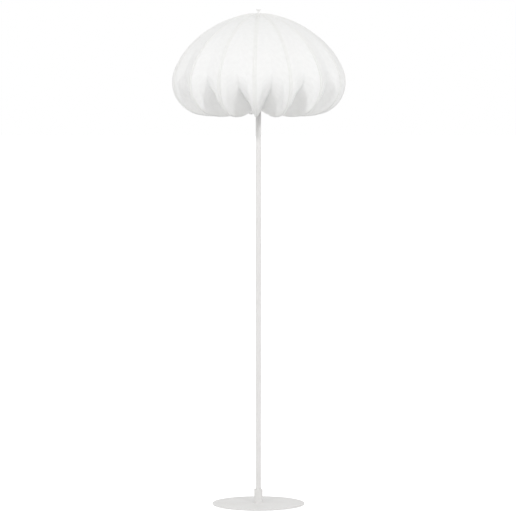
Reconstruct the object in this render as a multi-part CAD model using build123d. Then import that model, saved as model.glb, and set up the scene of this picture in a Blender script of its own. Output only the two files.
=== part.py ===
from build123d import *
import os
from math import asin, atan2, cos, degrees, hypot, radians, sin

# Mushroom floor lamp: a flat steel base, a slim pole in three lengths, a lampholder inside a wire
# harp, and a round cloth shade on fifteen bowed ribs, held down by a small flared finial.
# Millimetres. Z is up, the floor is Z = 0, the pole stands on the Z axis and the front faces -Y.

# Base
BASE_DIAMETER = 280.0
BASE_THICKNESS = 4.0
BASE_EDGE_RADIUS = 1.0
PAD_THICKNESS = 1.0
PAD_INSET = 4.0
SCREW_COUNT = 3
SCREW_CIRCLE_DIAMETER = 15.0
SCREW_DIAMETER = 4.0
SCREW_HEAD_DIAMETER = 8.0
SCREW_ENGAGEMENT = 5.0
SCREW_SOCKET = 2.5

# Collar that holds the pole on the base
COLLAR_DIAMETER = 26.0
COLLAR_HEIGHT = 42.0
COLLAR_CHAMFER = 1.0
COLLAR_FLOOR = 6.0
COLLAR_CAVITY_DIAMETER = 14.0
COLLAR_CAVITY_HEIGHT = 10.0
SET_SCREW_DIAMETER = 5.0
SET_SCREW_SOCKET = 2.5
SET_SCREW_DEPTH_BELOW_TOP = 12.0
GLAND_BODY_DIAMETER = 7.0
GLAND_BORE = 5.0
GLAND_FLANGE_DIAMETER = 9.6
GLAND_FLANGE_THICKNESS = 1.6
GLAND_SPOT_DEPTH = 1.0

# Pole
POLE_DIAMETER = 16.0
POLE_WALL = 1.2
POLE_SECTION_LENGTH = 400.0
POLE_SECTIONS = ("pole_lower", "pole_middle", "pole_upper")
JOINER_LENGTH = 36.0
JOINER_BORE = 9.0
CAP_SPIGOT_LENGTH = 16.0
CAP_FLANGE_THICKNESS = 3.0

# Nipple, saddle and lampholder
NIPPLE_DIAMETER = 10.0
NIPPLE_BORE = 7.0
NIPPLE_IN_HOLDER = 9.0
SADDLE_WIDTH = 8.0
SADDLE_EYE_DIAMETER = 18.0
SADDLE_THICKNESS = 2.0
SADDLE_BEND_RADIUS = 6.0
SADDLE_ARM_HEIGHT = 12.0
SADDLE_POST_HEIGHT = 7.0
NUT_ACROSS_FLATS = 14.0
NUT_THICKNESS = 3.0
HOLDER_DIAMETER = 38.0
HOLDER_WALL = 1.6
HOLDER_CAP_HEIGHT = 16.0
HOLDER_BODY_HEIGHT = 38.0
HOLDER_NECK_DIAMETER = 16.0
HOLDER_FLOOR = 2.4
BLOCK_HEIGHT = 9.0
SHELL_BORE = 27.0
SHELL_WALL = 0.5
SHELL_HEIGHT = 24.0
CONTACT_WIDTH = 5.0
CONTACT_THICKNESS = 0.5
CONTACT_RISE = 3.0

# Bulb
BULB_CAP_DIAMETER = 26.4
BULB_CAP_WALL = 0.4
BULB_CAP_HEIGHT = 24.0
BULB_INSULATOR_HEIGHT = 3.0
BULB_TIP_DIAMETER = 9.0
BULB_TIP_HEIGHT = 1.0
BULB_DIAMETER = 60.0
BULB_NECK_DIAMETER = 24.0
BULB_NECK_RISE = 34.0
BULB_GLASS = 1.0

# Harp
HARP_WIRE = 4.0
HARP_FOOT_HALF_WIDTH = 28.0
HARP_HALF_WIDTH = 48.0
HARP_FOOT_STRAIGHT = 24.0
HARP_SPREAD_HEIGHT = 24.0
HARP_SPREAD_RADIUS = 20.0
HARP_SHOULDER_RADIUS = 38.0
HARP_HEIGHT = 235.5
FERRULE_DIAMETER = 7.0
FERRULE_HEIGHT = 14.0
BOSS_DIAMETER = 12.0
BOSS_HEIGHT = 8.0
STUD_DIAMETER = 4.0
STUD_ROOT = 3.0
STUD_RISE = 13.0

# Shade frame
RIB_COUNT = 15
FRONT_RIB_ANGLE = -92.5
RIB_WIRE = 3.5
HUB_DIAMETER = 44.0
HUB_THICKNESS = 5.0
HUB_SOCKET_DEPTH = 5.0
RIB_START_SLOPE = 8.0
CROWN_RADIUS, CROWN_TURN = 318.0, 36.6
SHOULDER_RADIUS, SHOULDER_TURN = 244.0, 23.1
BEND_RADIUS, BEND_TURN = 97.5, 100.8
UNDERSIDE_RADIUS, UNDERSIDE_TURN = 239.0, 32.8
RING_WIRE = 4.0

# Shade cover: each gore dips between its ribs
COVER_THICKNESS = 1.0
VALLEY_CROWN_INSET = 18.0
VALLEY_BEND_INSET = 47.0

# Finial
WASHER_DIAMETER = 13.0
WASHER_THICKNESS = 1.2
FINIAL_NECK_DIAMETER = 6.0
FINIAL_NECK_HEIGHT = 2.2
FINIAL_DIAMETER = 15.0
FINIAL_HEIGHT = 10.0
FINIAL_RIM_HEIGHT = 2.0
FINIAL_RIM_RADIUS = 0.8
FINIAL_BORE_DEPTH = 9.0

# Clearances
SLIDING = 0.1
LOOSE = 0.2
SOFT = 0.3

# Heights that follow from the sizes above
BASE_TOP = PAD_THICKNESS + BASE_THICKNESS
COLLAR_TOP = BASE_TOP + COLLAR_HEIGHT
CAVITY_FLOOR = BASE_TOP + COLLAR_FLOOR
POLE_BOTTOM = CAVITY_FLOOR + COLLAR_CAVITY_HEIGHT
POLE_TOP = POLE_BOTTOM + POLE_SECTION_LENGTH * len(POLE_SECTIONS)
POLE_BORE = POLE_DIAMETER - 2 * POLE_WALL
SADDLE_BOTTOM = POLE_TOP + CAP_FLANGE_THICKNESS
SADDLE_TOP = SADDLE_BOTTOM + SADDLE_THICKNESS
HOLDER_BOTTOM = SADDLE_TOP + NUT_THICKNESS
HOLDER_SPLIT = HOLDER_BOTTOM + HOLDER_CAP_HEIGHT
HOLDER_TOP = HOLDER_SPLIT + HOLDER_BODY_HEIGHT
BLOCK_BOTTOM = HOLDER_SPLIT + LOOSE
SHELL_BOTTOM = BLOCK_BOTTOM + BLOCK_HEIGHT
CONTACT_TOP = SHELL_BOTTOM + CONTACT_RISE
BULB_BOTTOM = CONTACT_TOP + LOOSE
BULB_CAP_BOTTOM = BULB_BOTTOM + BULB_TIP_HEIGHT + BULB_INSULATOR_HEIGHT
FERRULE_BOTTOM = SADDLE_BOTTOM + SADDLE_ARM_HEIGHT
HARP_BOTTOM = FERRULE_BOTTOM + SADDLE_POST_HEIGHT + LOOSE
HARP_TOP = HARP_BOTTOM + HARP_HEIGHT
BOSS_BOTTOM = HARP_TOP - BOSS_HEIGHT / 2
HUB_BOTTOM = BOSS_BOTTOM + BOSS_HEIGHT
HUB_TOP = HUB_BOTTOM + HUB_THICKNESS
WASHER_TOP = HUB_TOP + WASHER_THICKNESS
RIB_STEP = 360.0 / RIB_COUNT
RIB_START_RADIUS = HUB_DIAMETER / 2 + 2 * SOFT
RIB_ARCS = (
    (CROWN_RADIUS, CROWN_TURN),
    (SHOULDER_RADIUS, SHOULDER_TURN),
    (BEND_RADIUS, BEND_TURN),
    (UNDERSIDE_RADIUS, UNDERSIDE_TURN),
)


def rod(diameter, bottom, top):
    """A solid cylinder on the Z axis between two heights."""
    return Pos(0, 0, bottom) * Cylinder(
        diameter / 2, top - bottom, align=(Align.CENTER, Align.CENTER, Align.MIN)
    )


def tube(outer, bore, bottom, top):
    return rod(outer, bottom, top) - rod(bore, bottom, top)


def turned(*profile):
    """A solid of revolution about Z from a closed outline of (radius, height) points."""
    return revolve(Plane.XZ * make_face(Polyline(*profile, close=True)), Axis.Z)


def cross_rod(diameter, start, end, height):
    """A solid cylinder along +Y at a height, for what enters the collar from behind."""
    return Pos(0, start, height) * Rot(-90, 0, 0) * Cylinder(
        diameter / 2, end - start, align=(Align.CENTER, Align.CENTER, Align.MIN)
    )


def screw_places():
    """The screw axes under the collar, evenly round the pole."""
    return [
        Rot(0, 0, 90 + step * 360 / SCREW_COUNT) * Pos(SCREW_CIRCLE_DIAMETER / 2, 0, 0)
        for step in range(SCREW_COUNT)
    ]


def hexagon(across_flats, bottom, top):
    outline = RegularPolygon(across_flats / 2, 6, major_radius=False)
    return Pos(0, 0, bottom) * extrude(outline, top - bottom)


def screw_blank(extra):
    """Shank and countersunk head, larger all round by extra for the hole that takes it."""
    head = SCREW_HEAD_DIAMETER / 2 + extra
    shank = SCREW_DIAMETER / 2 + extra
    bottom = PAD_THICKNESS + (SLIDING if extra == 0 else 0)
    top = BASE_TOP + SCREW_ENGAGEMENT + extra
    return turned((0, bottom), (head, bottom), (shank, bottom + head - shank), (shank, top), (0, top))


def base_screws():
    socket = hexagon(SCREW_SOCKET, PAD_THICKNESS, PAD_THICKNESS + SCREW_DIAMETER / 2)
    screw = screw_blank(0) - socket
    return Compound([place * screw for place in screw_places()])


def base_plate():
    plate = rod(BASE_DIAMETER, PAD_THICKNESS, BASE_TOP)
    plate = fillet(plate.edges().group_by(Axis.Z)[-1], min(BASE_EDGE_RADIUS, 0.4 * BASE_THICKNESS))
    for place in screw_places():
        plate -= place * screw_blank(SLIDING)
    return plate


def base_pad():
    return rod(BASE_DIAMETER - 2 * PAD_INSET, 0, PAD_THICKNESS)


def base_collar():
    collar = rod(COLLAR_DIAMETER, BASE_TOP, COLLAR_TOP)
    collar = chamfer(collar.edges().group_by(Axis.Z)[-1], COLLAR_CHAMFER)
    collar -= rod(COLLAR_CAVITY_DIAMETER, CAVITY_FLOOR, POLE_BOTTOM)
    collar -= rod(POLE_DIAMETER + 2 * SLIDING, POLE_BOTTOM, COLLAR_TOP)
    for place in screw_places():
        collar -= place * screw_blank(SLIDING)
    outside = COLLAR_DIAMETER / 2
    spot = outside - GLAND_SPOT_DEPTH
    height = CAVITY_FLOOR + COLLAR_CAVITY_HEIGHT / 2
    collar -= cross_rod(GLAND_BODY_DIAMETER + 2 * SLIDING, 0, outside, height)
    collar -= cross_rod(GLAND_FLANGE_DIAMETER + 2 * LOOSE, spot, outside, height)
    set_screw_hole = SET_SCREW_DIAMETER + 2 * SLIDING
    collar -= cross_rod(set_screw_hole, 0, outside, COLLAR_TOP - SET_SCREW_DEPTH_BELOW_TOP)
    return collar


def cord_gland():
    """The bush that guides the supply lead out of the collar's back."""
    height = CAVITY_FLOOR + COLLAR_CAVITY_HEIGHT / 2
    spot = COLLAR_DIAMETER / 2 - GLAND_SPOT_DEPTH
    bush = cross_rod(GLAND_BODY_DIAMETER, COLLAR_CAVITY_DIAMETER / 2 + SLIDING, spot, height)
    flange = cross_rod(GLAND_FLANGE_DIAMETER, spot, spot + GLAND_FLANGE_THICKNESS, height)
    flange = chamfer(flange.edges().group_by(Axis.Y)[-1], GLAND_FLANGE_THICKNESS / 3)
    return bush + flange - cross_rod(GLAND_BORE, 0, COLLAR_DIAMETER, height)


def collar_set_screw():
    height = COLLAR_TOP - SET_SCREW_DEPTH_BELOW_TOP
    start = POLE_DIAMETER / 2 + SLIDING
    end = COLLAR_DIAMETER / 2 - SLIDING
    blank = cross_rod(SET_SCREW_DIAMETER, start, end, height)
    socket = Pos(0, end, height) * Rot(90, 0, 0) * hexagon(SET_SCREW_SOCKET, 0, (end - start) / 2)
    return blank - socket


def pole_section(index):
    bottom = POLE_BOTTOM + index * POLE_SECTION_LENGTH
    return tube(POLE_DIAMETER, POLE_BORE, bottom, bottom + POLE_SECTION_LENGTH)


def pole_joiners():
    """Threaded stubs inside the pole, one across each of its joints."""
    stubs = []
    for joint in range(1, len(POLE_SECTIONS)):
        middle = POLE_BOTTOM + joint * POLE_SECTION_LENGTH
        bottom = middle - JOINER_LENGTH / 2
        stubs.append(tube(POLE_BORE - 2 * SLIDING, JOINER_BORE, bottom, bottom + JOINER_LENGTH))
    return Compound(stubs)


def pole_cap():
    """The turned plug in the pole's top, with a flange as wide as the pole."""
    spigot = rod(POLE_BORE - 2 * SLIDING, POLE_TOP - CAP_SPIGOT_LENGTH, POLE_TOP)
    flange = rod(POLE_DIAMETER, POLE_TOP, SADDLE_BOTTOM)
    bore = NIPPLE_DIAMETER + 2 * SLIDING
    return spigot + flange - rod(bore, POLE_TOP - CAP_SPIGOT_LENGTH, SADDLE_BOTTOM)


def holder_nipple():
    bottom = POLE_TOP - CAP_SPIGOT_LENGTH
    return tube(NIPPLE_DIAMETER, NIPPLE_BORE, bottom, HOLDER_BOTTOM + NIPPLE_IN_HOLDER)


def saddle_nut():
    nut = hexagon(NUT_ACROSS_FLATS, SADDLE_TOP, HOLDER_BOTTOM)
    return nut - rod(NIPPLE_DIAMETER + 2 * SLIDING, SADDLE_TOP, HOLDER_BOTTOM)


def harp_saddle():
    """A bent strip with a round post at each end that the harp's feet stand on."""
    half = HARP_FOOT_HALF_WIDTH
    middle = SADDLE_BOTTOM + SADDLE_THICKNESS / 2
    line = FilletPolyline(
        (-half, FERRULE_BOTTOM), (-half, middle), (half, middle), (half, FERRULE_BOTTOM),
        radius=SADDLE_BEND_RADIUS,
    )
    strip = make_face(Plane.YZ * trace(line, SADDLE_THICKNESS).wire())
    saddle = extrude(strip, SADDLE_WIDTH / 2, both=True)
    saddle += rod(SADDLE_EYE_DIAMETER, SADDLE_BOTTOM, SADDLE_TOP)
    for side in (-1, 1):
        foot = rod(HARP_WIRE, FERRULE_BOTTOM, FERRULE_BOTTOM + SADDLE_POST_HEIGHT)
        rest = rod(FERRULE_DIAMETER, FERRULE_BOTTOM - SADDLE_THICKNESS, FERRULE_BOTTOM)
        saddle += Pos(0, side * half, 0) * (foot + rest)
    return saddle - rod(NIPPLE_DIAMETER + 2 * SLIDING, SADDLE_BOTTOM, SADDLE_TOP)


def lampholder_cap():
    """The holder's lower shell: a short neck on the nipple that flares to the full width."""
    neck = HOLDER_NECK_DIAMETER / 2
    wide = HOLDER_DIAMETER / 2
    inner = wide - HOLDER_WALL
    bore = NIPPLE_DIAMETER / 2 + SLIDING
    neck_top = HOLDER_BOTTOM + HOLDER_CAP_HEIGHT / 3
    return turned(
        (bore, HOLDER_BOTTOM), (neck, HOLDER_BOTTOM), (neck, neck_top), (wide, HOLDER_SPLIT),
        (inner, HOLDER_SPLIT), (neck - HOLDER_WALL, neck_top + HOLDER_FLOOR),
        (bore, neck_top + HOLDER_FLOOR),
    )


def lampholder_body():
    body = tube(HOLDER_DIAMETER, HOLDER_DIAMETER - 2 * HOLDER_WALL, HOLDER_SPLIT, HOLDER_TOP)
    return chamfer(body.edges().group_by(Axis.Z)[-1].sort_by(SortBy.RADIUS)[-1], HOLDER_WALL / 2)


def lampholder_block():
    """The ceramic block that carries the contacts."""
    outer = HOLDER_DIAMETER - 2 * (HOLDER_WALL + SLIDING)
    block = rod(outer, BLOCK_BOTTOM, SHELL_BOTTOM)
    slot = Box(CONTACT_WIDTH, outer / 2, CONTACT_WIDTH, align=(Align.CENTER, Align.MIN, Align.MIN))
    return block - Pos(0, outer / 3, BLOCK_BOTTOM) * slot


def screw_shell():
    """The threaded metal shell that the bulb turns into."""
    outer = SHELL_BORE + 2 * SHELL_WALL
    return tube(outer, SHELL_BORE, SHELL_BOTTOM, SHELL_BOTTOM + SHELL_HEIGHT)


def centre_contact():
    """A sprung strip, folded up under the tip of the bulb."""
    reach = SHELL_BORE / 4
    line = Polyline(
        (reach, SHELL_BOTTOM + CONTACT_THICKNESS / 2), (-reach / 2, SHELL_BOTTOM + CONTACT_THICKNESS / 2),
        (0, CONTACT_TOP - CONTACT_THICKNESS / 2), (reach / 2, CONTACT_TOP - CONTACT_THICKNESS / 2),
    )
    strip = make_face(Plane.XZ * trace(line, CONTACT_THICKNESS).wire())
    return extrude(strip, CONTACT_WIDTH / 2, both=True)


def bulb_tip():
    return rod(BULB_TIP_DIAMETER, BULB_BOTTOM, BULB_BOTTOM + BULB_TIP_HEIGHT)


def bulb_insulator():
    bottom = BULB_BOTTOM + BULB_TIP_HEIGHT
    return turned(
        (0, bottom), (BULB_TIP_DIAMETER / 2, bottom),
        (BULB_CAP_DIAMETER / 2, BULB_CAP_BOTTOM), (0, BULB_CAP_BOTTOM),
    )


def bulb_cap():
    bore = BULB_CAP_DIAMETER - 2 * BULB_CAP_WALL
    return tube(BULB_CAP_DIAMETER, bore, BULB_CAP_BOTTOM, BULB_CAP_BOTTOM + BULB_CAP_HEIGHT)


def bulb_outline(inset):
    """Half of the bulb's outline: a neck that flares by an arc into a round end."""
    neck = BULB_NECK_DIAMETER / 2 - inset
    ball = BULB_DIAMETER / 2 - inset
    start = BULB_CAP_BOTTOM + BULB_CAP_HEIGHT / 2
    centre = BULB_CAP_BOTTOM + BULB_CAP_HEIGHT + BULB_NECK_RISE
    lip = start + BULB_CAP_HEIGHT / 2
    flare = BULB_NECK_RISE / 2
    waist = ((neck + ball) / 2, lip + flare)
    line = Line((neck, start), (neck, lip))
    line += ThreePointArc((neck, lip), (neck + (ball - neck) / 6, lip + flare / 2), waist)
    side = (ball * cos(radians(12)), centre - ball * sin(radians(12)))
    line += Line(waist, side)
    line += ThreePointArc(side, (ball * cos(radians(40)), centre + ball * sin(radians(40))), (0, centre + ball))
    return line, start, centre + ball


def bulb_globe():
    outer, start, top = bulb_outline(0)
    inner, _, inner_top = bulb_outline(BULB_GLASS)
    outer_neck = BULB_NECK_DIAMETER / 2
    edge = Line((outer_neck, start), (outer_neck - BULB_GLASS, start)) + Line((0, inner_top), (0, top))
    face = make_face([*outer.edges(), *inner.edges(), *edge.edges()])
    return revolve(Plane.XZ * face, Axis.Z)


def harp_wire():
    """One bent wire: two straight feet, a spread round the bulb, and a flat top for the boss."""
    foot, wide = HARP_FOOT_HALF_WIDTH, HARP_HALF_WIDTH
    knee = HARP_BOTTOM + HARP_FOOT_STRAIGHT + HARP_SPREAD_RADIUS / 2
    side = [(foot, HARP_BOTTOM), (foot, knee), (wide, knee + HARP_SPREAD_HEIGHT), (wide, HARP_TOP)]
    corners = side + [(-y, z) for y, z in reversed(side)]
    radii = [HARP_SPREAD_RADIUS, HARP_SPREAD_RADIUS, HARP_SHOULDER_RADIUS]
    path = FilletPolyline(*[(0, y, z) for y, z in corners], radius=radii + radii[::-1])
    section = Plane(origin=(0, foot, HARP_BOTTOM), z_dir=(0, 0, 1)) * Circle(HARP_WIRE / 2)
    return sweep(section, path.wire())


def harp_ferrule(side):
    """A sleeve that drops over a saddle post and a foot of the harp and locks them in line."""
    bore = HARP_WIRE + 2 * SLIDING
    return Pos(0, side * HARP_FOOT_HALF_WIDTH, 0) * tube(
        FERRULE_DIAMETER, bore, FERRULE_BOTTOM, FERRULE_BOTTOM + FERRULE_HEIGHT
    )


def harp_boss():
    boss = rod(BOSS_DIAMETER, BOSS_BOTTOM, HUB_BOTTOM)
    boss -= cross_rod(HARP_WIRE + 2 * SLIDING, -BOSS_DIAMETER, BOSS_DIAMETER, HARP_TOP)
    return boss - rod(STUD_ROOT + 2 * SLIDING, HARP_TOP, HUB_BOTTOM)


def harp_stud():
    """The threaded stud that stands on the boss and carries the hub and the finial."""
    root = rod(STUD_ROOT, HARP_TOP + HARP_WIRE / 2 + LOOSE, HUB_BOTTOM)
    return root + rod(STUD_DIAMETER, HUB_BOTTOM, HUB_BOTTOM + STUD_RISE)


def rib_line(inset):
    """A rib's bowed line in (radius, height), inset inwards from the crest of the ribs."""
    slope = radians(RIB_START_SLOPE)
    start = (RIB_START_RADIUS - inset * sin(slope), HUB_TOP - inset * cos(slope))
    return arc_chain(start, RIB_START_SLOPE, [(radius - inset, turn) for radius, turn in RIB_ARCS])


def arc_chain(start, slope, arcs):
    """Tangent arcs that all turn downwards and back in, with their end point and end slope."""
    edges = []
    for radius, turn in arcs:
        direction = (cos(radians(slope)), -sin(radians(slope)))
        arc = JernArc(start, direction, radius, -turn)
        edges.append(arc)
        start = (arc.position_at(1).X, arc.position_at(1).Y)
        slope += turn
    return edges, start, slope


def valley_line(inset):
    """The line that a gore follows midway between two ribs: flatter than a rib over the crown,
    turning in sooner, and straight from its bend to the bottom ring."""
    slope = radians(RIB_START_SLOPE)
    start = (RIB_START_RADIUS - inset * sin(slope), HUB_TOP - inset * cos(slope))
    crown = (
        (CROWN_RADIUS - VALLEY_CROWN_INSET - inset, CROWN_TURN),
        (SHOULDER_RADIUS - VALLEY_CROWN_INSET - inset, SHOULDER_TURN),
    )
    edges, point, turned_so_far = arc_chain(start, RIB_START_SLOPE, crown)
    bend = BEND_RADIUS - VALLEY_BEND_INSET - inset
    angle = radians(turned_so_far)
    centre = (point[0] - bend * sin(angle), point[1] - bend * cos(angle))
    _, end, _ = rib_line(inset)
    reach = hypot(centre[0] - end[0], centre[1] - end[1])
    fall = degrees(atan2(centre[1] - end[1], centre[0] - end[0]) - asin(bend / reach))
    turn = 180 - fall - turned_so_far
    more, point, _ = arc_chain(point, turned_so_far, [(bend, turn)])
    return edges + more + [Line(point, end)]


def strip_outline(outer, inner):
    """The thin closed outline between two matching lines."""
    first = Line(outer[0].position_at(0), inner[0].position_at(0))
    last = Line(outer[-1].position_at(1), inner[-1].position_at(1))
    return make_face([*outer, last, *inner, first])


def rib_section(side):
    """The gore's edge beside a rib, clear of the rib's wire."""
    angle = radians(side * RIB_STEP / 2)
    beside = RIB_WIRE / 2 + SOFT
    outward = (cos(angle), sin(angle), 0)
    across = (side * sin(angle) * beside, -side * cos(angle) * beside, 0)
    plane = Plane(origin=across, x_dir=outward, z_dir=(sin(angle), -cos(angle), 0))
    outer, _, _ = rib_line(RIB_WIRE / 4)
    inner, _, _ = rib_line(RIB_WIRE / 4 + COVER_THICKNESS)
    return plane * strip_outline(outer, inner)


def valley_section():
    plane = Plane(origin=(0, 0, 0), x_dir=(1, 0, 0), z_dir=(0, -1, 0))
    top = RIB_WIRE / 4
    return plane * strip_outline(valley_line(top), valley_line(top + COVER_THICKNESS))


def shade_cover():
    """The cloth, as one cut gore between each pair of ribs."""
    gore = loft([rib_section(-1), valley_section(), rib_section(1)])
    turns = [FRONT_RIB_ANGLE + (step + 0.5) * RIB_STEP for step in range(RIB_COUNT)]
    return Compound([Rot(0, 0, turn) * gore for turn in turns])


def rib(angle):
    """One bowed wire from its socket in the hub to the bottom ring."""
    inset = RIB_WIRE / 2
    slope = radians(RIB_START_SLOPE)
    edges, _, _ = rib_line(inset)
    start = edges[0].position_at(0)
    depth = RIB_START_RADIUS - HUB_DIAMETER / 2 + HUB_SOCKET_DEPTH - LOOSE
    root = (start.X - depth * cos(slope), start.Y + depth * sin(slope))
    edges = [Line(root, start), *edges]
    path = Plane.XZ * Wire([edge.edge() for edge in edges])
    facing = Plane(origin=path.position_at(0), z_dir=path.tangent_at(0))
    return Rot(0, 0, angle) * sweep(facing * Circle(inset), path)


def shade_top_hub():
    hub = rod(HUB_DIAMETER, HUB_BOTTOM, HUB_TOP) - rod(STUD_DIAMETER + 2 * SLIDING, HUB_BOTTOM, HUB_TOP)
    slope = radians(RIB_START_SLOPE)
    inset = RIB_WIRE / 2
    mouth = (HUB_DIAMETER / 2 - inset * sin(slope), HUB_TOP - inset * cos(slope))
    socket = Pos(mouth[0], 0, mouth[1]) * Rot(0, 90 + RIB_START_SLOPE, 0) * Cylinder(
        inset + SLIDING, 2 * HUB_SOCKET_DEPTH
    )
    for step in range(RIB_COUNT):
        hub -= Rot(0, 0, FRONT_RIB_ANGLE + step * RIB_STEP) * socket
    return hub


def shade_bottom_ring():
    """The closed wire ring that the ribs' lower ends are welded to."""
    _, (end_radius, end_height), end_slope = rib_line(RIB_WIRE / 2)
    beyond = RING_WIRE / 2 + SOFT
    ring_radius = end_radius + beyond * cos(radians(end_slope))
    ring_height = end_height - beyond * sin(radians(end_slope))
    return Pos(0, 0, ring_height) * Torus(ring_radius, RING_WIRE / 2)


def finial_washer():
    bore = FINIAL_NECK_DIAMETER + 2 * SLIDING
    return tube(WASHER_DIAMETER, bore, HUB_TOP, WASHER_TOP)


def finial():
    """A trumpet-shaped nut: a slim neck through the washer, flaring to a rounded rim."""
    neck, rim = FINIAL_NECK_DIAMETER / 2, FINIAL_DIAMETER / 2
    bottom = HUB_TOP + SLIDING
    flare = WASHER_TOP + FINIAL_NECK_HEIGHT
    top = flare + FINIAL_HEIGHT
    rim_low = top - FINIAL_RIM_HEIGHT
    outline = Polyline((rim, rim_low), (rim, top), (0, top), (0, bottom), (neck, bottom), (neck, flare))
    middle = (neck + (rim - neck) / 3, flare + (rim_low - flare) * 2 / 3)
    outline += ThreePointArc((neck, flare), middle, (rim, rim_low))
    knob = revolve(Plane.XZ * make_face(outline.edges()), Axis.Z)
    knob = fillet(knob.edges().group_by(Axis.Z)[-1], FINIAL_RIM_RADIUS)
    return knob - rod(STUD_DIAMETER + 2 * SLIDING, bottom, bottom + FINIAL_BORE_DEPTH)


def main():
    os.makedirs("parts", exist_ok=True)
    pieces = {
        "base_pad": base_pad(),
        "base_plate": base_plate(),
        "base_screws": base_screws(),
        "base_collar": base_collar(),
        "collar_set_screw": collar_set_screw(),
        "cord_gland": cord_gland(),
        "pole_joiners": pole_joiners(),
        "pole_cap": pole_cap(),
        "holder_nipple": holder_nipple(),
        "harp_saddle": harp_saddle(),
        "saddle_nut": saddle_nut(),
        "lampholder_cap": lampholder_cap(),
        "lampholder_body": lampholder_body(),
        "lampholder_block": lampholder_block(),
        "screw_shell": screw_shell(),
        "centre_contact": centre_contact(),
        "bulb_tip": bulb_tip(),
        "bulb_insulator": bulb_insulator(),
        "bulb_cap": bulb_cap(),
        "bulb_globe": bulb_globe(),
        "harp_wire": harp_wire(),
        "harp_ferrule_left": harp_ferrule(-1),
        "harp_ferrule_right": harp_ferrule(1),
        "harp_boss": harp_boss(),
        "harp_stud": harp_stud(),
        "shade_top_hub": shade_top_hub(),
        "shade_bottom_ring": shade_bottom_ring(),
        "shade_cover": shade_cover(),
        "finial_washer": finial_washer(),
        "finial": finial(),
    }
    for index, name in enumerate(POLE_SECTIONS):
        pieces[name] = pole_section(index)
    for step in range(RIB_COUNT):
        pieces[f"shade_rib_{step + 1:02d}"] = rib(FRONT_RIB_ANGLE + step * RIB_STEP)
    for name, shape in pieces.items():
        export_step(shape, f"parts/{name}.step")


main()
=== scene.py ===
from math import asin, atan2, cos, exp, hypot, pi, radians, sin

import bpy
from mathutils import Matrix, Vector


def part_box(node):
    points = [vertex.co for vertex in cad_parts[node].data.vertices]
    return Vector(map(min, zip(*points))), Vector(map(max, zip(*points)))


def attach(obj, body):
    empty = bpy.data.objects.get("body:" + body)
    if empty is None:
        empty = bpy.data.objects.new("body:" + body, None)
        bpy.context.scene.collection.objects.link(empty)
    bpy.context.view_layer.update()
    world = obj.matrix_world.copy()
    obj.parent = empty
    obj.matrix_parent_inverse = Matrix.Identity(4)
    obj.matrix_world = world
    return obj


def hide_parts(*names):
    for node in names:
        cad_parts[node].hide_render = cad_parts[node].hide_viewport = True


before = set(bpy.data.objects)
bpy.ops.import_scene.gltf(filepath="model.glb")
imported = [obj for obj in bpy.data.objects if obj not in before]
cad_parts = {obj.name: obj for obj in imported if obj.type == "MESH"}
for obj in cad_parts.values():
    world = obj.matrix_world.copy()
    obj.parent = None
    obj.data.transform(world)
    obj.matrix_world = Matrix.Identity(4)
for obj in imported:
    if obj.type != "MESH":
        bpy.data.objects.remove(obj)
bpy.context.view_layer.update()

# ---- Felt pad --------------------------------------------------------------------------------
# A disc of pressed wool felt glued under the base plate, so that the steel doesn't mark a floor.
# It is cut a little smaller than the plate and hardly shows.


def linear(hex_colour):
    """An sRGB hex colour as linear RGBA."""
    channels = [int(hex_colour[i:i + 2], 16) / 255 for i in (1, 3, 5)]
    return [c / 12.92 if c <= 0.04045 else ((c + 0.055) / 1.055) ** 2.4 for c in channels] + [1.0]


def add(tree, kind, links=(), **settings):
    """Adds a node. Settings are node properties or, written like In_Scale, its sockets' values."""
    node = tree.nodes.new(kind)
    for name, value in settings.items():
        if name.startswith("In_"):
            node.inputs[name[3:].replace("_", " ")].default_value = value
        else:
            setattr(node, name, value)
    for socket, source in dict(links).items():
        tree.links.new(source, node.inputs[socket])
    return node


def new_material(name):
    """An empty material's tree, its Principled shader and its place on the object in metres."""
    material = bpy.data.materials.new(name)
    material.use_nodes = True
    tree = material.node_tree
    tree.nodes.clear()
    shader = add(tree, "ShaderNodeBsdfPrincipled")
    add(tree, "ShaderNodeOutputMaterial", {"Surface": shader.outputs["BSDF"]})
    place = add(tree, "ShaderNodeTexCoord").outputs["Object"]
    return material, tree, shader, place


def dress(material, *nodes):
    """Gives carried-over nodes a material."""
    for name in nodes:
        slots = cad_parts[name].data.materials
        slots.clear()
        slots.append(material)


def pressed_felt():
    """Wool felt: matted fibres, so it is matt and faintly mottled. The fibres are drawn 0.3 mm
    thick, far coarser than real wool."""
    fibre_mm, clump_mm = 0.3, 4.0
    material, tree, shader, place = new_material("pressed_wool_felt")
    fibres = add(tree, "ShaderNodeTexNoise", {"Vector": place}, In_Scale=1000 / fibre_mm, In_Detail=4)
    clumps = add(tree, "ShaderNodeTexNoise", {"Vector": place}, In_Scale=1000 / clump_mm, In_Detail=2)
    both = add(tree, "ShaderNodeMath", {0: fibres.outputs["Fac"], 1: clumps.outputs["Fac"]}, operation="ADD")
    ramp = add(tree, "ShaderNodeValToRGB", {"Fac": both.outputs[0]})
    ramp.color_ramp.elements[0].position, ramp.color_ramp.elements[1].position = 0.8, 1.0
    ramp.color_ramp.elements[0].color = linear("#9c9b97")
    ramp.color_ramp.elements[1].color = linear("#c3c2be")
    bump = add(tree, "ShaderNodeBump", {"Height": fibres.outputs["Fac"]}, In_Strength=0.6, In_Distance=0.0003)
    tree.links.new(ramp.outputs["Color"], shader.inputs["Base Color"])
    tree.links.new(bump.outputs["Normal"], shader.inputs["Normal"])
    shader.inputs["Roughness"].default_value = 0.95
    shader.inputs["Sheen Weight"].default_value = 0.3
    return material


dress(pressed_felt(), "base_pad")

# ---- Base plate, collar and pole -------------------------------------------------------------
# Steel plate and drawn tube, sprayed with white polyester powder and baked. The collar is turned
# from bar and coated with them, and three countersunk screws hold it from below.


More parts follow.
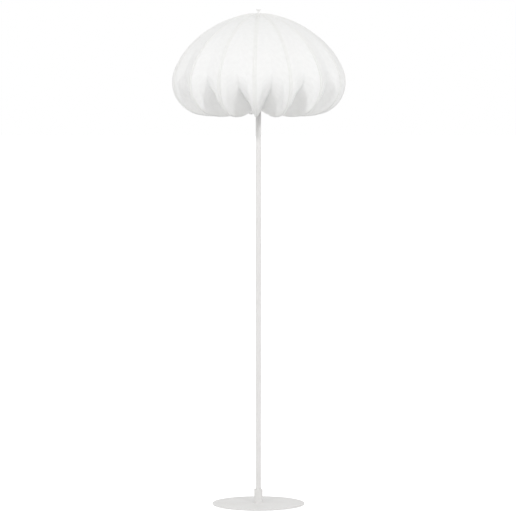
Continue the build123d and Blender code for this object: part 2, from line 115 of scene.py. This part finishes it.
def powder_coat(name, dark, light):
    """Baked polyester powder on steel: satin white with a fine orange peel, a little dustier in
    broad patches, so its highlights are soft and slightly broken."""
    peel_mm, cloud_mm = 1.2, 60.0
    material, tree, shader, place = new_material(name)
    peel = add(tree, "ShaderNodeTexNoise", {"Vector": place}, In_Scale=1000 / peel_mm, In_Detail=2)
    cloud = add(tree, "ShaderNodeTexNoise", {"Vector": place}, In_Scale=1000 / cloud_mm, In_Detail=3)
    ramp = add(tree, "ShaderNodeValToRGB", {"Fac": cloud.outputs["Fac"]})
    ramp.color_ramp.elements[0].position, ramp.color_ramp.elements[1].position = 0.3, 0.7
    ramp.color_ramp.elements[0].color = linear(dark)
    ramp.color_ramp.elements[1].color = linear(light)
    gloss = add(tree, "ShaderNodeMapRange", {"Value": cloud.outputs["Fac"]}, In_To_Min=0.40, In_To_Max=0.50)
    bump = add(tree, "ShaderNodeBump", {"Height": peel.outputs["Fac"]}, In_Strength=0.12, In_Distance=0.0002)
    tree.links.new(ramp.outputs["Color"], shader.inputs["Base Color"])
    tree.links.new(gloss.outputs["Result"], shader.inputs["Roughness"])
    tree.links.new(bump.outputs["Normal"], shader.inputs["Normal"])
    return material


white_powder_coat = powder_coat("white_powder_coat", "#e6e5e3", "#ebeae9")
dress(white_powder_coat, "base_plate", "base_collar", "pole_lower", "pole_middle", "pole_upper", "pole_cap")

# ---- Screws, nuts and threaded tubes ---------------------------------------------------------
# Turned and cold-headed steel fasteners with a thin bright zinc plate, all of them hidden under
# the base, inside the pole or inside the shade.


def zinc_plate():
    """Bright zinc plate on steel: grey with a faint blue cast and fine turning marks."""
    mark_mm = 0.4
    material, tree, shader, place = new_material("zinc_plated_steel")
    stretch = add(tree, "ShaderNodeMapping", {"Vector": place}, In_Scale=(40, 40, 1000 / mark_mm))
    marks = add(tree, "ShaderNodeTexNoise", {"Vector": stretch.outputs["Vector"]}, In_Scale=1.0, In_Detail=3)
    ramp = add(tree, "ShaderNodeValToRGB", {"Fac": marks.outputs["Fac"]})
    ramp.color_ramp.elements[0].color = linear("#a7abb0")
    ramp.color_ramp.elements[1].color = linear("#d2d5d8")
    rough = add(tree, "ShaderNodeMapRange", {"Value": marks.outputs["Fac"]}, In_To_Min=0.25, In_To_Max=0.42)
    tree.links.new(ramp.outputs["Color"], shader.inputs["Base Color"])
    tree.links.new(rough.outputs["Result"], shader.inputs["Roughness"])
    shader.inputs["Metallic"].default_value = 1.0
    return material


dress(
    zinc_plate(),
    "base_screws", "collar_set_screw", "pole_joiners", "holder_nipple", "saddle_nut", "harp_stud",
)

# ---- Cord gland ------------------------------------------------------------------------------
# A small flanged bush of moulded white nylon, pushed into the back of the collar, where the
# supply lead leaves the lamp.


def moulded(name, dark, light, roughness, grain_mm):
    """A plain skin with one body colour and a faint grain, as moulded plastic has. The fired
    block and the bulb's cap, button and globe wear it too, so the cap isn't drawn as a metal."""
    material, tree, shader, place = new_material(name)
    grain = add(tree, "ShaderNodeTexNoise", {"Vector": place}, In_Scale=1000 / grain_mm, In_Detail=2)
    ramp = add(tree, "ShaderNodeValToRGB", {"Fac": grain.outputs["Fac"]})
    ramp.color_ramp.elements[0].color = linear(dark)
    ramp.color_ramp.elements[1].color = linear(light)
    bump = add(tree, "ShaderNodeBump", {"Height": grain.outputs["Fac"]}, In_Strength=0.1, In_Distance=0.0001)
    tree.links.new(ramp.outputs["Color"], shader.inputs["Base Color"])
    tree.links.new(bump.outputs["Normal"], shader.inputs["Normal"])
    shader.inputs["Roughness"].default_value = roughness
    return material


dress(moulded("moulded_nylon", "#dcdbd8", "#e6e5e2", 0.45, 0.5), "cord_gland")

# ---- Lampholder ------------------------------------------------------------------------------
# Two moulded shells screwed together round a block of fired steatite, which carries a rolled
# brass screw shell and a sprung centre contact.

dress(moulded("moulded_thermoset", "#dededb", "#e9e8e5", 0.38, 0.8), "lampholder_cap", "lampholder_body")
dress(moulded("fired_steatite", "#dfdcd3", "#ece9e1", 0.6, 0.25), "lampholder_block")


def brass():
    """Plain brass from rolled strip or bar: warm, with fine marks along the way it was worked."""
    mark_mm = 0.5
    material, tree, shader, place = new_material("rolled_brass")
    stretch = add(tree, "ShaderNodeMapping", {"Vector": place}, In_Scale=(60, 60, 1000 / mark_mm))
    marks = add(tree, "ShaderNodeTexNoise", {"Vector": stretch.outputs["Vector"]}, In_Scale=1.0, In_Detail=3)
    ramp = add(tree, "ShaderNodeValToRGB", {"Fac": marks.outputs["Fac"]})
    ramp.color_ramp.elements[0].color = linear("#b8924a")
    ramp.color_ramp.elements[1].color = linear("#dcbc78")
    rough = add(tree, "ShaderNodeMapRange", {"Value": marks.outputs["Fac"]}, In_To_Min=0.22, In_To_Max=0.38)
    tree.links.new(ramp.outputs["Color"], shader.inputs["Base Color"])
    tree.links.new(rough.outputs["Result"], shader.inputs["Roughness"])
    shader.inputs["Metallic"].default_value = 1.0
    return material


rolled_brass = brass()
dress(rolled_brass, "screw_shell", "centre_contact", "bulb_tip", "harp_ferrule_left", "harp_ferrule_right")

# ---- Bulb ------------------------------------------------------------------------------------
# A household bulb: a blown opal globe cemented into a rolled aluminium screw cap, with a black
# glass button round its tip contact.

dress(moulded("rolled_aluminium", "#b9babb", "#cfd0d1", 0.35, 0.4), "bulb_cap")
dress(moulded("black_glass_button", "#101010", "#191817", 0.15, 0.8), "bulb_insulator")
dress(moulded("satin_opal_glass", "#efece6", "#f5f3ee", 0.30, 3.0), "bulb_globe")

# ---- Saddle, harp and boss -------------------------------------------------------------------
# Spring-steel wire and bent strip, nickel plated and buffed. The harp's feet stand on the
# saddle's posts, and a brass sleeve drops over each joint.


def nickel_plate():
    """Buffed nickel plate on drawn wire: a warm bright grey with faint drawing marks."""
    mark_mm = 0.6
    material, tree, shader, place = new_material("nickel_plated_wire")
    marks = add(tree, "ShaderNodeTexNoise", {"Vector": place}, In_Scale=1000 / mark_mm, In_Detail=2)
    ramp = add(tree, "ShaderNodeValToRGB", {"Fac": marks.outputs["Fac"]})
    ramp.color_ramp.elements[0].color = linear("#c4beb4")
    ramp.color_ramp.elements[1].color = linear("#dcd7ce")
    rough = add(tree, "ShaderNodeMapRange", {"Value": marks.outputs["Fac"]}, In_To_Min=0.14, In_To_Max=0.26)
    tree.links.new(ramp.outputs["Color"], shader.inputs["Base Color"])
    tree.links.new(rough.outputs["Result"], shader.inputs["Roughness"])
    shader.inputs["Metallic"].default_value = 1.0
    return material


dress(nickel_plate(), "harp_saddle", "harp_wire", "harp_boss")

# ---- Shade frame -----------------------------------------------------------------------------
# A pressed hub and a closed wire ring, powder coated, joined by fifteen bowed spring wires that
# are bound with white cotton tape, so that the cloth can be sewn to them.

rib_names = [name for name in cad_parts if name.startswith("shade_rib_")]
dress(white_powder_coat, "shade_top_hub", "shade_bottom_ring")


def bound_wire():
    """Wire bound with cotton tape: matt white, with the tape's edges as a fine spiral."""
    turn_mm = 5.0
    material, tree, shader, place = new_material("tape_bound_wire")
    turns = add(
        tree, "ShaderNodeTexWave", {"Vector": place},
        In_Scale=1000 / turn_mm / 20, In_Distortion=0.5, wave_type="BANDS", bands_direction="Z",
    )
    ramp = add(tree, "ShaderNodeValToRGB", {"Fac": turns.outputs["Fac"]})
    ramp.color_ramp.elements[0].color = linear("#d9d8d4")
    ramp.color_ramp.elements[1].color = linear("#edece9")
    bump = add(tree, "ShaderNodeBump", {"Height": turns.outputs["Fac"]}, In_Strength=0.5, In_Distance=0.0003)
    tree.links.new(ramp.outputs["Color"], shader.inputs["Base Color"])
    tree.links.new(bump.outputs["Normal"], shader.inputs["Normal"])
    shader.inputs["Roughness"].default_value = 0.85
    return material


dress(bound_wire(), *rib_names)

# ---- Shade cover -----------------------------------------------------------------------------
# Fine white cloth cut in fifteen gores, sewn to each other over the ribs and pulled tight, so it
# bows out along each rib and dips between them, most of all where it turns under the shade.

RIB_COUNT = 15
RIB_STEP = radians(360 / RIB_COUNT)
FRONT_RIB = radians(-92.5)
HUB_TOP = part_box("shade_top_hub")[1][2] * 1000
RIB_START_RADIUS, RIB_START_SLOPE = 22.6, 8.0
CROWN_RADIUS, CROWN_TURN = 318.0, 36.6
SHOULDER_RADIUS, SHOULDER_TURN = 244.0, 23.1
BEND_RADIUS, BEND_TURN = 97.5, 100.8
UNDERSIDE_RADIUS, UNDERSIDE_TURN = 239.0, 32.8
VALLEY_CROWN_INSET, VALLEY_BEND_INSET = 18.0, 47.0
RING_LOW, RING_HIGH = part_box("shade_bottom_ring")
RING_WIRE = (RING_HIGH[2] - RING_LOW[2]) * 1000
RING_RADIUS = (RING_HIGH[0] - RING_LOW[0]) * 500 - RING_WIRE / 2
RING_HEIGHT = (RING_HIGH[2] + RING_LOW[2]) * 500
RIB_WIRE = 3.5
CLOTH_THICKNESS = 0.5
SEAM_SLACK, HUB_GAP, HEM_WRAP = 0.3, 0.1, 170.0
CHANNEL = RIB_WIRE / 2 + CLOTH_THICKNESS + SEAM_SLACK
CHANNEL_SHARE, WELT_FADE = 0.4, 0.3
FIN_TOP_WIDTH, FIN_BELT_WIDTH, FIN_LOW_WIDTH, FIN_SHARE = 5.0, 22.0, 4.0, 0.6
CROWN_TUCK, FIN_NARROWING = 0.75, 0.6
FACE_DEPTH, FACE_CURVE, TURN_DEPTH, TURN_SHARE, TURN_TOP = 0.22, 1.2, 0.47, 0.1, 1325.0
CROWN_CURVE = 1.9
FOLD_TOP, FOLD_BOTTOM, BELT_HEIGHT, LOWEST_HEIGHT = 1440.0, 1320.0, 1280.0, 1183.0
GATHER_START, GATHER_RISE, GATHER_DEPTH, GATHER_REACH = 8.2, 0.5, 1.9, 26.0
GATHERS_PER_GORE = 3
HUB_STEPS, CROWN_STEPS, SHOULDER_STEPS, BEND_STEPS, UNDERSIDE_STEPS, HEM_STEPS = 5, 34, 24, 48, 24, 8
CHANNEL_COLUMNS, FACE_COLUMNS, TURN_COLUMNS, FLANK_COLUMNS = 4, 4, 2, 6


def bowed(start, slope, arcs):
    """Points along tangent arcs that all turn down and back in, as (radius, height)."""
    points = [start]
    for radius, turn, steps in arcs:
        centre = (points[-1][0] - radius * sin(slope), points[-1][1] - radius * cos(slope))
        for step in range(1, steps + 1):
            angle = slope + turn * step / steps
            points.append((centre[0] + radius * sin(angle), centre[1] + radius * cos(angle)))
        slope += turn
    return points, slope


def rib_points():
    """The line of the ribs' crests, from the hub to the ring."""
    arcs = [
        (CROWN_RADIUS, radians(CROWN_TURN), CROWN_STEPS),
        (SHOULDER_RADIUS, radians(SHOULDER_TURN), SHOULDER_STEPS),
        (BEND_RADIUS, radians(BEND_TURN), BEND_STEPS),
        (UNDERSIDE_RADIUS, radians(UNDERSIDE_TURN), UNDERSIDE_STEPS),
    ]
    return bowed((RIB_START_RADIUS, HUB_TOP), radians(RIB_START_SLOPE), arcs)[0]


def valley_points():
    """The line midway between two ribs: bowed on tighter arcs than theirs, then straight to the
    ribs' ends."""
    slope = radians(RIB_START_SLOPE)
    crown = [
        (CROWN_RADIUS - VALLEY_CROWN_INSET, radians(CROWN_TURN), CROWN_STEPS),
        (SHOULDER_RADIUS - VALLEY_CROWN_INSET, radians(SHOULDER_TURN), SHOULDER_STEPS),
    ]
    points, slope = bowed((RIB_START_RADIUS, HUB_TOP), slope, crown)
    bend = BEND_RADIUS - VALLEY_BEND_INSET
    centre = (points[-1][0] - bend * sin(slope), points[-1][1] - bend * cos(slope))
    end = rib_points()[-1]
    reach = hypot(centre[0] - end[0], centre[1] - end[1])
    fall = atan2(centre[1] - end[1], centre[0] - end[0]) - asin(bend / reach)
    more, _ = bowed(points[-1], slope, [(bend, pi - fall - slope, BEND_STEPS)])
    points += more[1:]
    start = points[-1]
    for step in range(1, UNDERSIDE_STEPS + 1):
        share = step / UNDERSIDE_STEPS
        points.append(tuple(a + (b - a) * share for a, b in zip(start, end)))
    return points


def over_hub():
    """The gathered cloth on the hub, from the finial's washer out to its rim."""
    for step in range(HUB_STEPS):
        radius = GATHER_START + (RIB_START_RADIUS - GATHER_START) * step / HUB_STEPS
        yield radius, HUB_TOP + CLOTH_THICKNESS + HUB_GAP


def round_ring(start):
    """The hem, from the ribs' ends under the bottom ring and up inside it."""
    out, up = start[0] - RING_RADIUS, start[1] - RING_HEIGHT
    first = atan2(up, out)
    for step in range(1, HEM_STEPS + 1):
        angle = first - radians(HEM_WRAP) * step / HEM_STEPS
        yield RING_RADIUS + hypot(out, up) * cos(angle), RING_HEIGHT + hypot(out, up) * sin(angle)


def fin_width(height):
    """Half the width of a fin: it opens from the crown down to the belt, then closes to an edge."""
    if height > BELT_HEIGHT:
        share = min(max((FOLD_TOP - height) / (FOLD_TOP - BELT_HEIGHT), 0), 1)
        return FIN_TOP_WIDTH + (FIN_BELT_WIDTH - FIN_TOP_WIDTH) * share
    share = max((height - LOWEST_HEIGHT) / (BELT_HEIGHT - LOWEST_HEIGHT), 0)
    return FIN_LOW_WIDTH + (FIN_BELT_WIDTH - FIN_LOW_WIDTH) * share ** FIN_NARROWING


def dip(share, edge, fold, turned):
    """How far the cloth has dipped, from 0 at a rib to 1 midway, at a share of that way. Over the
    crown it is a plain hollow. Folded, it is a fin's blunt face out to its edge, a sharp turn
    there, and a flat flank down to a sharp valley."""
    hollow = 1 - (1 - share) ** CROWN_CURVE
    plain = FACE_DEPTH + (1 - FACE_DEPTH) * TURN_SHARE / (1 - edge)
    turn = plain + (TURN_DEPTH - plain) * turned
    beyond = share - edge - TURN_SHARE
    if share < edge:
        fin = FACE_DEPTH * (share / edge) ** FACE_CURVE
    elif beyond < 0:
        fin = FACE_DEPTH + (turn - FACE_DEPTH) * (share - edge) / TURN_SHARE
    else:
        fin = turn + (1 - turn) * beyond / (1 - edge - TURN_SHARE)
    return hollow + (fin - hollow) * fold


def across_columns(reach, channel, edge):
    """Distances from a rib to midway: close together over its channel, then even on a fin's face,
    its turn and its flank, so that a line of the mesh runs along each fold."""
    over = [channel * sin(pi / 2 * step / CHANNEL_COLUMNS) for step in range(CHANNEL_COLUMNS)]
    shares = [edge * step / FACE_COLUMNS for step in range(FACE_COLUMNS)]
    shares += [edge + TURN_SHARE * step / TURN_COLUMNS for step in range(TURN_COLUMNS)]
    flank = 1 - edge - TURN_SHARE
    shares += [edge + TURN_SHARE + flank * step / FLANK_COLUMNS for step in range(FLANK_COLUMNS + 1)]
    return over + [channel + (reach - channel) * share for share in shares]


def cloth_mesh():
    """The whole cover as one sheet, with its UV in metres: the distance from the nearest seam
    across, and the length from the hub along."""
    half = RIB_STEP / 2
    ribs, valleys = rib_points(), valley_points()
    hub, hem = list(over_hub()), list(round_ring(ribs[-1]))
    ribs, valleys = hub + ribs + hem, hub + valleys + hem
    rows, side_columns = len(ribs), CHANNEL_COLUMNS + FACE_COLUMNS + TURN_COLUMNS + FLANK_COLUMNS
    columns = RIB_COUNT * 2 * side_columns
    along, vertices, beside = [0.0], [], []
    for before, after in zip(ribs, ribs[1:]):
        along.append(along[-1] + hypot(after[0] - before[0], after[1] - before[1]))
    for row in range(rows):
        rib, valley = ribs[row], valleys[row]
        after, before = ribs[min(row + 1, rows - 1)], ribs[max(row - 1, 0)]
        length = hypot(after[0] - before[0], after[1] - before[1])
        out = ((before[1] - after[1]) / length, (after[0] - before[0]) / length)
        on_rib = HUB_STEPS <= row < rows - HEM_STEPS
        fold = min(max((FOLD_TOP - valley[1]) / (FOLD_TOP - FOLD_BOTTOM), 0), 1)
        fold *= (2 - fold) if on_rib else 0
        reach = rib[0] * sin(half)
        turned = min(max((TURN_TOP - rib[1]) / (TURN_TOP - BELT_HEIGHT), 0), 1)
        drop = min(max((FOLD_TOP - rib[1]) / (FOLD_TOP - BELT_HEIGHT), 0), 1)
        tuck = 1 + CROWN_TUCK * on_rib * sin(pi * drop)
        past_hub = max(along[row] - along[HUB_STEPS], 0) / GATHER_REACH
        gather = GATHER_DEPTH * past_hub * exp(1 - past_hub) - GATHER_RISE * max(1 - row / HUB_STEPS, 0)
        channel = min(CHANNEL, reach * CHANNEL_SHARE)
        edge = min(fin_width(rib[1]) / (reach - channel), FIN_SHARE)
        offsets = across_columns(reach, channel, edge)
        for column in range(columns):
            gore, step = divmod(column, 2 * side_columns)
            near = step if step <= side_columns else 2 * side_columns - step
            offset = offsets[near]
            side = 1 if step > side_columns else -1
            share = min(max(offset - channel, 0) / (reach - channel), 1)
            depth = tuck * dip(share, edge, fold, turned)
            flat = rib[0] * cos(half)
            x, y = flat + depth * (valley[0] - flat), side * (reach - offset)
            height = rib[1] + depth * (valley[1] - rib[1])
            over_wire = max(CHANNEL ** 2 - offset ** 2, 0) ** 0.5 - RIB_WIRE / 2
            welt = over_wire * max(1 - offset / CHANNEL, 0) ** WELT_FADE
            wave = gather * (1 - cos(pi * GATHERS_PER_GORE * offset / reach)) / 2
            rise = welt * on_rib - wave
            x, y = x + out[0] * rise * cos(half), y + out[0] * rise * side * sin(half)
            height += out[1] * rise
            turn = FRONT_RIB + (gore + 0.5) * RIB_STEP
            vertices.append((
                (x * cos(turn) - y * sin(turn)) / 1000, (x * sin(turn) + y * cos(turn)) / 1000, height / 1000
            ))
            beside.append(offset)
    faces, uvs = [], []
    for row in range(rows - 1):
        for column in range(columns):
            right = (column + 1) % columns
            corners = [(row, column), (row + 1, column), (row + 1, right), (row, right)]
            faces.append([r * columns + c for r, c in corners])
            sign = 1 if column % (2 * side_columns) < side_columns else -1
            uvs += [(sign * beside[r * columns + c] / 1000, along[r] / 1000) for r, c in corners]
    mesh = bpy.data.meshes.new("shade_cloth")
    mesh.from_pydata(vertices, [], faces)
    layer = mesh.uv_layers.new(name="cloth")
    layer.data.foreach_set("uv", [value for uv in uvs for value in uv])
    mesh.shade_smooth()
    return mesh


def woven_cloth():
    """Plain-woven white cloth: matt and lets a little light through, with a touch of painted shade in a band
    along each rib, over the doubled seam allowance, where less light comes through the cloth. Its threads are
    drawn 1 mm apart, coarser than the 0.25 mm or so that is usual for such cloth. The photo is too small to
    show them."""
    thread_mm, slub_mm, allowance_mm = 1.0, 14.0, 7.0
    material, tree, shader, _ = new_material("plain_woven_cloth")
    cloth = add(tree, "ShaderNodeUVMap", uv_map="cloth").outputs["UV"]
    split = add(tree, "ShaderNodeSeparateXYZ", {"Vector": cloth})
    waves = []
    for axis in ("X", "Y"):
        turns = add(tree, "ShaderNodeMath", {0: split.outputs[axis]}, operation="MULTIPLY")
        turns.inputs[1].default_value = 2 * pi * 1000 / thread_mm
        waves.append(add(tree, "ShaderNodeMath", {0: turns.outputs[0]}, operation="SINE").outputs[0])
    weave = add(tree, "ShaderNodeMath", {0: waves[0], 1: waves[1]}, operation="MULTIPLY")
    slub = add(tree, "ShaderNodeTexNoise", {"Vector": cloth}, In_Scale=1000 / slub_mm, In_Detail=3)
    ramp = add(tree, "ShaderNodeValToRGB", {"Fac": slub.outputs["Fac"]})
    ramp.color_ramp.elements[0].position, ramp.color_ramp.elements[1].position = 0.3, 0.7
    ramp.color_ramp.elements[0].color = linear("#f4f4f3")
    ramp.color_ramp.elements[1].color = linear("#f8f8f7")
    # Painted shade: the cloth is darkened a touch within the seam allowance's width each side of every rib,
    # where less light comes through the doubled cloth.
    distance = add(tree, "ShaderNodeMath", {0: split.outputs["X"]}, operation="ABSOLUTE")
    seam_painted_shade = add(tree, "ShaderNodeMapRange", {"Value": distance.outputs[0]}, interpolation_type="SMOOTHSTEP")
    seam_painted_shade.inputs["From Min"].default_value = (allowance_mm + 1) / 1000
    seam_painted_shade.inputs["From Max"].default_value = (allowance_mm - 1) / 1000
    shaded = add(tree, "ShaderNodeMix", data_type="RGBA", blend_type="MULTIPLY")
    tree.links.new(seam_painted_shade.outputs["Result"], shaded.inputs["Factor"])
    tree.links.new(ramp.outputs["Color"], shaded.inputs["A"])
    shaded.inputs["B"].default_value = linear("#fdfdfc")
    bump = add(tree, "ShaderNodeBump", {"Height": weave.outputs[0]}, In_Strength=0.15, In_Distance=0.0002)
    tree.links.new(shaded.outputs["Result"], shader.inputs["Base Color"])
    tree.links.new(bump.outputs["Normal"], shader.inputs["Normal"])
    shader.inputs["Roughness"].default_value = 0.9
    shader.inputs["Sheen Weight"].default_value = 0.1
    shader.inputs["Subsurface Weight"].default_value = 0.25
    shader.inputs["Subsurface Radius"].default_value = (1.0, 1.0, 1.0)
    shader.inputs["Subsurface Scale"].default_value = 0.0006
    return material


cloth_cover = bpy.data.objects.new("cloth_cover", cloth_mesh())
bpy.context.scene.collection.objects.link(cloth_cover)
cloth_cover.data.materials.append(woven_cloth())
thickness = cloth_cover.modifiers.new("cloth_thickness", "SOLIDIFY")
thickness.thickness = CLOTH_THICKNESS / 1000
thickness.offset = -1
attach(cloth_cover, "shade")
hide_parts("shade_cover")

# ---- Finial ----------------------------------------------------------------------------------
# A flared nut, turned from bar and powder coated white, with a captive washer under its neck.
# It screws down on the harp's stud and holds the shade's hub on the boss. Its coat is painted whiter than the
# pole's, as painted light on its flare, which faces down and would render darker.

# Painted light: the finial and its washer wear a lighter copy of the white powder coat, so the
# downward-facing flare reads as bright as the pole.
dress(powder_coat("powder_coat_painted_light", "#f5f5f4", "#f9f9f8"), "finial", "finial_washer")

# ---- Floor, light and camera -----------------------------------------------------------------
# A seamless white studio: a pale floor a hair below the pad, which keeps the lamp's shadow, two
# small keys 27 degrees left and right of the camera, three larger boxes and a long lens far off.

CAMERA_DISTANCE, CAMERA_HEIGHT, AIM_HEIGHT = 10.2, 1.5, 0.7505
IMAGE_PX, MM_PER_PX, SENSOR_MM = 516, 3.024, 36.0
AIM_PX = 258.4
FLOOR_SIZE, FLOOR_DROP = 60.0, 0.0002


def background_ray(tree):
    """1 for a ray that shows the background: straight to the camera, in gloss or through glass."""
    path = add(tree, "ShaderNodeLightPath").outputs
    seen = add(
        tree, "ShaderNodeMath", {0: path["Is Camera Ray"], 1: path["Is Glossy Ray"]}, operation="MAXIMUM"
    ).outputs[0]
    return add(
        tree, "ShaderNodeMath", {0: seen, 1: path["Is Transmission Ray"]}, operation="MAXIMUM"
    ).outputs[0]


def studio_floor():
    """Matt white paper, brightened for the rays that show the background, so it reads white."""
    material, tree, shader, _ = new_material("white_studio_paper")
    shader.inputs["Roughness"].default_value = 1.0
    shader.inputs["Specular IOR Level"].default_value = 0.0
    shader.inputs["Base Color"].default_value = linear("#f2f2f2")
    lift = add(tree, "ShaderNodeMath", {0: background_ray(tree)}, operation="MULTIPLY")
    lift.inputs[1].default_value = 0.68
    shader.inputs["Emission Color"].default_value = (1, 1, 1, 1)
    tree.links.new(lift.outputs[0], shader.inputs["Emission Strength"])
    return material


floor_mesh = bpy.data.meshes.new("studio_floor")
far = FLOOR_SIZE / 2
corners = [(-far, -far, 0), (far, -far, 0), (far, far, 0), (-far, far, 0)]
floor_mesh.from_pydata(corners, [], [(0, 1, 2, 3)])
floor_mesh.materials.append(studio_floor())
studio = bpy.data.objects.new("studio_floor", floor_mesh)
studio.location.z = -FLOOR_DROP
bpy.context.scene.collection.objects.link(studio)


def aim(thing, place, target):
    """Puts a camera or lamp at a place and points it at a target."""
    thing.location = place
    away = [a - b for a, b in zip(place, target)]
    flat = hypot(away[0], away[1])
    thing.rotation_euler = (atan2(flat, away[2]), 0, atan2(away[0], -away[1]))


def soft_box(name, azimuth, height, distance, size, watts):
    """A square soft box aimed at the lamp's axis, a metre above the floor."""
    light = bpy.data.lights.new(name, "AREA")
    light.size, light.energy = size, watts
    box = bpy.data.objects.new(name, light)
    bpy.context.scene.collection.objects.link(box)
    angle = radians(azimuth)
    aim(box, (distance * sin(angle), -distance * cos(angle), height), (0, 0, 1.0))


soft_box("key_left", -27, 3.6, 6.0, 0.22, 81)
soft_box("key_right", 27, 3.6, 6.0, 0.22, 81)
soft_box("side_left", -90, 2.6, 4.0, 1.5, 26)
soft_box("side_right", 90, 2.6, 4.0, 1.5, 26)
soft_box("overhead", 0, 5.0, 0.6, 2.0, 12)

world = bpy.data.worlds.new("studio_world")
world.use_nodes = True
world.node_tree.nodes.clear()
strength = add(
    world.node_tree, "ShaderNodeMapRange", {"Value": background_ray(world.node_tree)},
    In_To_Min=0.52, In_To_Max=1.0,
)
sky = add(world.node_tree, "ShaderNodeBackground", {"Strength": strength.outputs["Result"]})
add(world.node_tree, "ShaderNodeOutputWorld", {"Surface": sky.outputs["Background"]})
sky.inputs["Color"].default_value = (1, 1, 1, 1)
bpy.context.scene.world = world

lens = bpy.data.cameras.new("long_lens")
lens.sensor_width = SENSOR_MM
aim_distance = hypot(CAMERA_DISTANCE, CAMERA_HEIGHT - AIM_HEIGHT)
lens.lens = SENSOR_MM * aim_distance * 1000 / (IMAGE_PX * MM_PER_PX)
lens.shift_x = (IMAGE_PX / 2 - AIM_PX) / IMAGE_PX
lens.clip_end = 200
camera = bpy.data.objects.new("long_lens", lens)
bpy.context.scene.collection.objects.link(camera)
aim(camera, (0, -CAMERA_DISTANCE, CAMERA_HEIGHT), (0, 0, AIM_HEIGHT))
bpy.context.scene.camera = camera
bpy.context.scene.view_settings.view_transform = "Standard"
